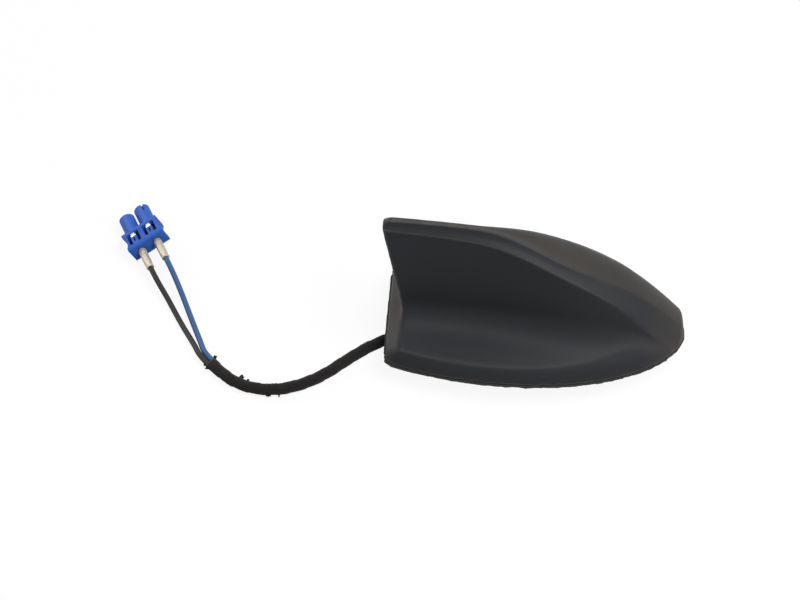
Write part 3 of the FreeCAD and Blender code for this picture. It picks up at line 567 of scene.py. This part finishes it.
def soften(shape, sharpest=SHARP_ANGLE):
    """Shade a shape smoothly, apart from the edges that turn more than an angle."""
    for face in shape.faces:
        face.smooth = True
    for edge in shape.edges:
        edge.smooth = len(edge.link_faces) == 2 and edge.calc_face_angle(0.0) < sharpest


def route_curve(name, points, order=ROUTE_ORDER):
    """A smooth open curve with the route's points as its control points."""
    data = bpy.data.curves.new(name, "CURVE")
    data.dimensions = "3D"
    data.resolution_u = ROUTE_STEPS
    spline = data.splines.new("NURBS")
    spline.points.add(len(points) - 1)
    for target, point in zip(spline.points, points):
        target.co = (*(v * MM for v in point), 1.0)
    spline.order_u = order
    spline.use_endpoint_u = True
    piece = bpy.data.objects.new(name, data)
    bpy.context.scene.collection.objects.link(piece)
    return piece


def path_along(points, order=ROUTE_ORDER):
    """Points read from a route's smooth curve."""
    guide = route_curve("route_guide", points, order)
    bpy.context.view_layer.update()
    mesh = bpy.data.meshes.new_from_object(guide)
    path = [v.co.copy() for v in mesh.vertices]
    bpy.data.objects.remove(guide)
    bpy.data.meshes.remove(mesh)
    return path


# Building steps

class AntennaOperator:
    """What the building steps share."""
    bl_options = {"REGISTER", "UNDO"}


class ANTENNA_OT_stage(AntennaOperator, bpy.types.Operator):
    """Pale floor, soft light and the camera at the viewing angle"""
    bl_idname = "antenna.stage"
    bl_label = "Stage"

    def execute(self, context):
        settings = context.scene.antenna_stage
        self.floor(settings)
        self.world(context, settings)
        self.lamps(context, settings)
        self.camera(context)
        return {"FINISHED"}

    def seen_directly(self, tree):
        """One for rays from the camera, from a mirror or through glass, and nought for light that bounces."""
        rays = add_node(tree, "ShaderNodeLightPath")
        seen = rays.outputs["Is Camera Ray"]
        for kind in ("Is Glossy Ray", "Is Transmission Ray"):
            either = add_node(tree, "ShaderNodeMath", {0: seen, 1: rays.outputs[kind]}, operation="MAXIMUM")
            seen = either.outputs[0]
        return seen

    def floor(self, settings):
        """A floor that looks white and keeps the shadow, but throws back less light than it shows."""
        shape = bmesh.new()
        bmesh.ops.create_grid(shape, x_segments=1, y_segments=1, size=FLOOR_REACH)
        bmesh.ops.translate(shape, verts=shape.verts, vec=(0, 0, FLOOR_LEVEL))
        ground = piece_from("pale_floor", shape)
        material, tree, shader, _ = new_material("pale floor", settings.floor_colour, FLOOR_ROUGHNESS)
        seen = self.seen_directly(tree)
        tint = add_node(tree, "ShaderNodeMix", {
            0: seen, 6: opaque(settings.floor_colour), 7: FLOOR_WHITE}, data_type="RGBA")
        tree.links.new(tint.outputs[2], shader.inputs["Base Color"])
        share = add_node(tree, "ShaderNodeMath", {0: seen, 1: FLOOR_GLOW}, operation="MULTIPLY")
        glow = add_node(tree, "ShaderNodeEmission", {"Color": WHITE, "Strength": 1.0})
        mixed = add_node(tree, "ShaderNodeMixShader", {
            0: share.outputs[0], 1: shader.outputs[0], 2: glow.outputs[0]})
        tree.links.new(mixed.outputs[0], tree.nodes["Material Output"].inputs["Surface"])
        ground.data.materials.append(material)

    def world(self, context, settings):
        """An even sky that looks white."""
        world = bpy.data.worlds.new("studio")
        world.use_nodes = True
        tree = world.node_tree
        strength = add_node(tree, "ShaderNodeMapRange", {
            "Value": self.seen_directly(tree), "To Min": settings.sky, "To Max": 1.0})
        sky = tree.nodes["Background"]
        sky.inputs["Color"].default_value = WHITE
        tree.links.new(strength.outputs[0], sky.inputs["Strength"])
        context.scene.world = world

    def lamps(self, context, settings):
        """Soft lamps that face the antenna."""
        for name, place, width, share in LAMPS:
            data = bpy.data.lights.new(name, "AREA")
            data.size = width
            data.energy = settings.key_power * share
            lamp = bpy.data.objects.new(name, data)
            lamp.location = place
            lamp.rotation_euler = (LAMP_AIM - lamp.location).to_track_quat("-Z", "Y").to_euler()
            context.scene.collection.objects.link(lamp)

    def camera(self, context):
        """The camera, with plain colours."""
        data = bpy.data.cameras.new("camera")
        data.sensor_width = CAMERA_SENSOR
        data.lens = CAMERA_LENS
        camera = bpy.data.objects.new("camera", data)
        camera.location = CAMERA_PLACE
        camera.rotation_euler = [math.radians(v) for v in CAMERA_TURN]
        context.scene.collection.objects.link(camera)
        context.scene.camera = camera
        context.scene.view_settings.view_transform = "Standard"


class ANTENNA_OT_cover(AntennaOperator, bpy.types.Operator):
    """Moulded fin cover"""
    bl_idname = "antenna.cover"
    bl_label = "Fin cover"

    def execute(self, context):
        settings = context.scene.antenna_cover
        shape = resurfaced(merged_copy("fin_cover"), settings.skin_step)
        self.round_off(shape)
        self.hollow_bands(shape, settings.band_hollow)
        dress(piece_from("fin_shell", shape), moulded_asa(settings), "fin_cover")
        return {"FINISHED"}

    def round_off(self, shape):
        """Round the shoulder above the flange, and the trailing edge with its corners."""
        low, high = (v * MM for v in SHOULDER_BAND)
        ease(shape, [v for v in shape.verts if low < v.co.z < high], SHOULDER_PASSES)
        shape.normal_update()
        rear = {v for v in shape.verts if v.normal.x < REAR_FACING and v.co.z > low}
        for _ in range(REAR_ROWS):
            rear |= {e.other_vert(v) for v in rear for e in v.link_edges}
        ease(shape, list(rear), REAR_PASSES)

    def hollow_bands(self, shape, depth):
        """Dip the skin in a parabola between the two creases, so that each crease turns sharply."""
        upper, lower = self.crease(UPPER_CREASE), self.crease(LOWER_CREASE)
        start, end = (v * MM for v in BAND_END)
        shape.normal_update()
        for vert in shape.verts:
            side = math.copysign(1.0, vert.co.y)
            place = Vector((abs(vert.co.y), vert.co.z))
            top, foot = self.beside(upper, vert.co.x), self.beside(lower, vert.co.x)
            down = foot - top
            outward = Vector((-down.y, down.x)).normalized()
            share = (place - top).dot(down) / down.length_squared
            if not 0 < share < 1 or abs((place - top).dot(outward)) > BAND_REACH * MM:
                continue
            if outward.dot(Vector((side * vert.normal.y, vert.normal.z))) < BAND_FACING:
                continue
            left = min(max((end - vert.co.x) / (end - start), 0.0), 1.0)
            dip = outward * (depth * left * 4 * share * (1 - share))
            vert.co -= Vector((0, side * dip.x, dip.y))

    def crease(self, shares):
        """Points along one crease, from the same control points that the solid has."""
        points = [
            (COVER_REAR + along * COVER_LENGTH, side * COVER_HALF, up * COVER_HEIGHT)
            for along, (side, up) in zip(STATIONS, shares)
        ]
        return path_along(points, CREASE_ORDER)

    def beside(self, line, x):
        """Half width and height of a crease at a place along the cover."""
        after = min(max(bisect.bisect_left(line, x, key=lambda p: p.x), 1), len(line) - 1)
        first, second = line[after - 1], line[after]
        share = (x - first.x) / (second.x - first.x)
        return first.lerp(second, share).yz


class ANTENNA_OT_base(AntennaOperator, bpy.types.Operator):
    """Die-cast base, seals, grommet and screws"""
    bl_idname = "antenna.base"
    bl_label = "Base and seals"

    def execute(self, context):
        coat("base_plate", die_cast_alloy())
        rubber = sealing_rubber()
        for node in ("cover_gasket", "cable_grommet"):
            coat(node, rubber)
        seal = piece_from("uneven_seal", self.seal_shape(context.scene.antenna_cover))
        dress(seal, rubber, "roof_seal")
        steel = plated_metal("zinc-plated steel", "#b9bab8", roughness=0.35, patch_mm=1.5, spread=0.1)
        for node in ("cover_screws", "board_screws"):
            coat(node, steel)
        return {"FINISHED"}

    def seal_shape(self, settings):
        """The seal with a lip that shows unevenly past the cover's edge, most of all at the rear."""
        shape = merged_copy("roof_seal")
        for _ in range(LIP_CUTS):
            long_lines = [e for e in self.rim_lines(shape) if e.calc_length() > LIP_STEP]
            bmesh.ops.subdivide_edges(shape, edges=long_lines, cuts=1)
        shape.normal_update()
        for vert in {v for e in self.rim_lines(shape) for v in e.verts}:
            outward = Vector((vert.normal.x, vert.normal.y, 0)).normalized()
            place = Vector((vert.co.x, vert.co.y, 0)) / LIP_STEP
            wave = LIP_MIDDLE + sum(height * noise.noise(place * pitch) for pitch, height in LIP_WAVES)
            reach = settings.rear_fringe if outward.x < RIM_REAR else settings.seal_lip
            vert.co += outward * reach * max(wave, 0.0)
        bmesh.ops.triangulate(shape, faces=shape.faces)
        return shape

    def rim_lines(self, shape):
        """The level edges round the outside of the seal."""
        upright = [f for f in shape.faces if abs(f.normal.z) < RIM_UPRIGHT]
        rim = {e for f in upright if f.normal.dot(f.calc_center_median()) > 0 for e in f.edges}
        return [e for e in shape.edges if e in rim and abs(e.verts[0].co.z - e.verts[1].co.z) < RIM_LEVEL]


class ANTENNA_OT_electronics(AntennaOperator, bpy.types.Operator):
    """Boards, patch and can inside the cover"""
    bl_idname = "antenna.electronics"
    bl_label = "Electronics"

    def execute(self, context):
        laminate = glass_fibre_laminate()
        for node in ("main_circuit_board", "phone_antenna_board"):
            coat(node, laminate)
        coat("satellite_patch", dull_solid(
            "fired ceramic", linear("#d8ccb4"), roughness=0.6, patch_mm=2.0, spread=0.06, depth_mm=0.02))
        coat("patch_electrode", plated_metal(
            "fired silver film", "#d4d3cd", roughness=0.45, patch_mm=2.0, spread=0.08))
        coat("amplifier_shield_can", plated_metal(
            "tin-plated sheet", "#c3c3c1", roughness=0.32, patch_mm=4.0, spread=0.06))
        brass = plated_metal("stamped brass", "#c9a552", roughness=0.35, patch_mm=1.5, spread=0.1)
        for node in ("fin_board_clips", "patch_feed_pin"):
            coat(node, brass)
        return {"FINISHED"}


class ANTENNA_OT_connector(AntennaOperator, bpy.types.Operator):
    """Blue twin coax connector with its contacts and crimp ferrules"""
    bl_idname = "antenna.connector"
    bl_label = "Coax connector"

    def execute(self, context):
        settings = context.scene.antenna_connector
        blue = dull_solid("moulded PBT", settings.colour, roughness=0.5, patch_mm=3.0, spread=0.08,
                          depth_mm=0.04, specular=0.2)
        housing = piece_from("twin_housing", rounded_copy("connector_housing", settings.edge_round))
        dress(housing, blue, "connector_housing")
        dress(piece_from("barrel_liners", self.liner_shape()), blue)
        nickel = dull_plating()
        bright = plated_metal("bright nickel plate", "#d9d9d6", roughness=0.25, patch_mm=1.2, spread=0.08)
        white = dull_solid("white fluoropolymer", linear("#e9e8e2"), roughness=0.5, patch_mm=2.0, spread=0.03,
                           depth_mm=0.02)
        gold = plated_metal("gold plate", "#d9b25c", roughness=0.28, patch_mm=1.0, spread=0.08)
        for hand, side in (("black", 1), ("blue", -1)):
            coat(f"{hand}_outer_contact", bright)
            dress(piece_from(f"{hand}_locking_tab", self.tab_shape(side)), bright)
            ferrule = piece_from(f"{hand}_ferrule", self.ferrule_shape(side))
            dress(ferrule, nickel, f"{hand}_crimp_ferrule")
            coat(f"{hand}_insulator", white)
            coat(f"{hand}_centre_contact", gold)
        return {"FINISHED"}

    def turned(self, shape, section):
        """Turn a closed half section about the connector's own X, and give the new corners."""
        ring = [shape.verts.new((x * MM, 0.0, radius * MM)) for x, radius in section]
        lines = [shape.edges.new(pair) for pair in zip(ring, ring[1:] + ring[:1])]
        before = set(shape.verts) - set(ring)
        bmesh.ops.spin(shape, geom=ring + lines, axis=(1, 0, 0), cent=(0, 0, 0), dvec=(0, 0, 0),
                       angle=2 * math.pi, steps=TURNED_STEPS, use_merge=True)
        return [v for v in shape.verts if v not in before]

    def lay(self, shape, side, verts):
        """Move corners from the middle of the connector, whose +X mates, to one of its axes where it lies."""
        turn = Matrix.Rotation(CONNECTOR_HEADING, 4, "Z") @ Matrix.Rotation(CONNECTOR_ROLL, 4, "X")
        pose = Matrix.Translation(Vector(CONNECTOR_PLACE) * MM) @ turn
        axis = Matrix.Translation((0, side * AXIS_OFFSET * MM, 0))
        bmesh.ops.transform(shape, matrix=pose @ axis, verts=verts)

    def liner_shape(self):
        """A thin sleeve in each barrel's mouth, which closes the key slot from inside."""
        shape = bmesh.new()
        for side in (1, -1):
            self.lay(shape, side, self.turned(shape, LINER_PROFILE))
        bmesh.ops.recalc_face_normals(shape, faces=shape.faces)
        soften(shape)
        return shape

    def tab_shape(self, side):
        """A stepped tab pressed up from the contact, which shows in the window."""
        shape = bmesh.new()
        made = bmesh.ops.create_cube(shape, size=1.0)["verts"]
        bmesh.ops.scale(shape, verts=made, vec=Vector(TAB_SIZE) * MM)
        bmesh.ops.translate(shape, verts=made, vec=Vector(TAB_MIDDLE) * MM)
        front = max(shape.faces, key=lambda f: f.calc_center_median().x)
        bmesh.ops.inset_region(shape, faces=[front], thickness=TAB_STEP * MM)
        nose = bmesh.ops.extrude_discrete_faces(shape, faces=[front])["faces"]
        bmesh.ops.translate(shape, verts=nose[0].verts, vec=(TAB_NOSE * MM, 0, TAB_STEP * MM))
        round_edges(shape, shape.edges, TAB_ROUND * MM)
        self.lay(shape, side, shape.verts)
        bmesh.ops.recalc_face_normals(shape, faces=shape.faces)
        soften(shape)
        return shape

    def ferrule_shape(self, side):
        """A turned sleeve with a rolled lip, pressed to flats over the braid."""
        shape = bmesh.new()
        self.turned(shape, FERRULE_PROFILE)
        rear, front = (v * MM for v in CRIMP_ZONE)
        flat_turn = 2 * math.pi / CRIMP_SIDES
        for vert in shape.verts:
            radius = math.hypot(vert.co.y, vert.co.z)
            if not rear < vert.co.x < front or radius < CRIMP_FLAT * MM:
                continue
            from_flat = math.atan2(vert.co.z, vert.co.y) % flat_turn - flat_turn / 2
            pressed = CRIMP_FLAT * MM / math.cos(from_flat)
            vert.co.yz = Vector(vert.co.yz) * (pressed / radius)
        self.lay(shape, side, shape.verts)
        bmesh.ops.recalc_face_normals(shape, faces=shape.faces)
        soften(shape, CRIMP_SHARP)
        return shape


class ANTENNA_OT_pigtail(AntennaOperator, bpy.types.Operator):
    """Taped bundle and the two coax leads"""
    bl_idname = "antenna.pigtail"
    bl_label = "Pigtail"

    def execute(self, context):
        settings = context.scene.antenna_pigtail
        self.bundle(settings)
        for hand, route, length, colour, carried in (
            ("black", BLACK_ROUTE, BLACK_LENGTH, settings.black_colour, ("twin_housing", "barrel_liners")),
            ("blue", BLUE_ROUTE, BLUE_LENGTH, settings.blue_colour, ()),
        ):
            jacket = coax_jacket(f"{hand} extruded PVC", colour)
            coat(f"inner_{hand}_lead", jacket)
            lead = route_curve(f"{hand}_coax", route)
            lead.data.bevel_depth = settings.lead_diameter / 2
            lead.data.bevel_resolution = LEAD_ROUND
            lead.data.use_fill_caps = True
            dress(lead, jacket, f"{hand}_lead")
            made = [bpy.data.objects[name] for name in (*carried, f"{hand}_ferrule", f"{hand}_locking_tab")]
            made += [NODES[f"{hand}_{kind}"] for kind in ("outer_contact", "insulator", "centre_contact")]
        return {"FINISHED"}

    def bundle(self, settings):
        """The taped bundle with its torn tongues."""
        path = path_along(BUNDLE_ROUTE)
        tape = cloth_tape(settings.tape_colour)
        bundle = piece_from("taped_bundle", self.taped_tube(path, settings))
        dress(bundle, tape, "harness_wrap")
        tongues = dress(piece_from("torn_tape", self.torn_tape(settings)), tape)

    def taped_tube(self, path, settings):
        """A tube whose skin steps along a spiral, as overlapped tape does, and flattens at the split."""
        radius = settings.bundle_diameter / 2
        shape = bmesh.new()
        rings = [bmesh.ops.create_circle(shape, cap_ends=False, radius=radius, segments=TAPE_SIDES)["verts"]]
        for _ in path[1:]:
            made = bmesh.ops.extrude_edge_only(shape, edges=self.ring_lines(shape, rings[-1]))["geom"]
            rings.append([v for v in made if isinstance(v, bmesh.types.BMVert)])
        travelled = 0.0
        for k, ring in enumerate(rings):
            before, after = path[max(k - 1, 0)], path[min(k + 1, len(path) - 1)]
            ahead = (after - before).normalized()
            across = ahead.cross(UP).normalized()
            above = across.cross(ahead).normalized()
            if k:
                travelled += (path[k] - path[k - 1]).length
            split = max(0.0, 1 - (path[-1] - path[k]).length / settings.split_run) ** 2
            wide, tall = 1 + SPLIT_WIDEN * split, 1 - SPLIT_FLATTEN * split
            for vert in ring:
                turn = math.atan2(vert.co.y, vert.co.x)
                phase = (travelled / settings.tape_pitch + turn / (2 * math.pi)) % 1.0
                spot = Vector((travelled, turn * radius, 0)) / settings.tape_fuzz / FUZZ_LENGTH
                fuzz = settings.tape_fuzz * noise.noise(spot)
                reach = radius + settings.tape_thickness * (0.5 - phase) + fuzz
                vert.co = path[k] + reach * (wide * math.cos(turn) * across + tall * math.sin(turn) * above)
        for ring in (rings[0], rings[-1]):
            bmesh.ops.contextual_create(shape, geom=self.ring_lines(shape, ring))
        bmesh.ops.recalc_face_normals(shape, faces=shape.faces)
        for face in shape.faces:
            face.smooth = True
        return shape

    def ring_lines(self, shape, ring):
        """The edges that lie in one ring of the tube."""
        return [e for e in shape.edges if e.verts[0] in ring and e.verts[1] in ring]

    def torn_tape(self, settings):
        """Ragged tongues of tape at the split and along the bundle."""
        shape = bmesh.new()
        for start, heading, length, width, curl in TAPE_TONGUES:
            made = bmesh.ops.create_grid(
                shape, x_segments=TONGUE_CELLS, y_segments=TONGUE_CELLS, size=0.5)["verts"]
            for vert in made:
                along, side = vert.co.x + 0.5, vert.co.y
                tear = TEAR_SHARE * noise.noise(Vector((side * TEAR_PITCH, heading, length)))
                lift = CRUMPLE * noise.noise(Vector((along * TEAR_PITCH, side * TEAR_PITCH, heading)))
                vert.co = Vector((
                    along * (1 + tear) * length, side * width * (1 - TONGUE_TAPER * along),
                    curl * along * along + lift)) * MM
            turn = Matrix.Rotation(math.radians(heading), 4, "Z")
            place = Matrix.Translation(Vector(start) * MM)
            bmesh.ops.transform(shape, matrix=place @ turn, verts=made)
        bmesh.ops.solidify(shape, geom=shape.faces, thickness=2 * settings.tape_thickness)
        bmesh.ops.recalc_face_normals(shape, faces=shape.faces)
        return shape


class ANTENNA_PT_pieces(bpy.types.Panel):
    """Lists the building steps and their settings"""
    bl_idname = "ANTENNA_PT_pieces"
    bl_label = "Roof antenna"
    bl_space_type = "VIEW_3D"
    bl_region_type = "UI"
    bl_category = "Antenna"

    def draw(self, context):
        for step in STEPS:
            self.layout.operator(step.bl_idname)
        for group in GROUPS:
            settings = getattr(context.scene, group)
            for name in settings.__annotations__:
                self.layout.prop(settings, name)


STEPS = (
    ANTENNA_OT_stage, ANTENNA_OT_cover, ANTENNA_OT_base, ANTENNA_OT_electronics,
    ANTENNA_OT_connector, ANTENNA_OT_pigtail,
)
GROUPS = {
    "antenna_stage": StageSettings,
    "antenna_cover": CoverSettings,
    "antenna_pigtail": PigtailSettings,
    "antenna_connector": ConnectorSettings,
}


def register():
    """Register the settings, the building steps and the panel."""
    for name, group in GROUPS.items():
        bpy.utils.register_class(group)
        setattr(bpy.types.Scene, name, PointerProperty(type=group))
    for item in (*STEPS, ANTENNA_PT_pieces):
        bpy.utils.register_class(item)


def unregister():
    """Take everything that register added away again."""
    for item in (ANTENNA_PT_pieces, *reversed(STEPS)):
        bpy.utils.unregister_class(item)
    for name, group in GROUPS.items():
        delattr(bpy.types.Scene, name)
        bpy.utils.unregister_class(group)


def main():
    """Build every piece in order."""
    register()
    bpy.ops.antenna.stage()
    bpy.ops.antenna.cover()
    bpy.ops.antenna.base()
    bpy.ops.antenna.electronics()
    bpy.ops.antenna.connector()
    bpy.ops.antenna.pigtail()
    bpy.context.view_layer.update()


if __name__ == "__main__":
    main()
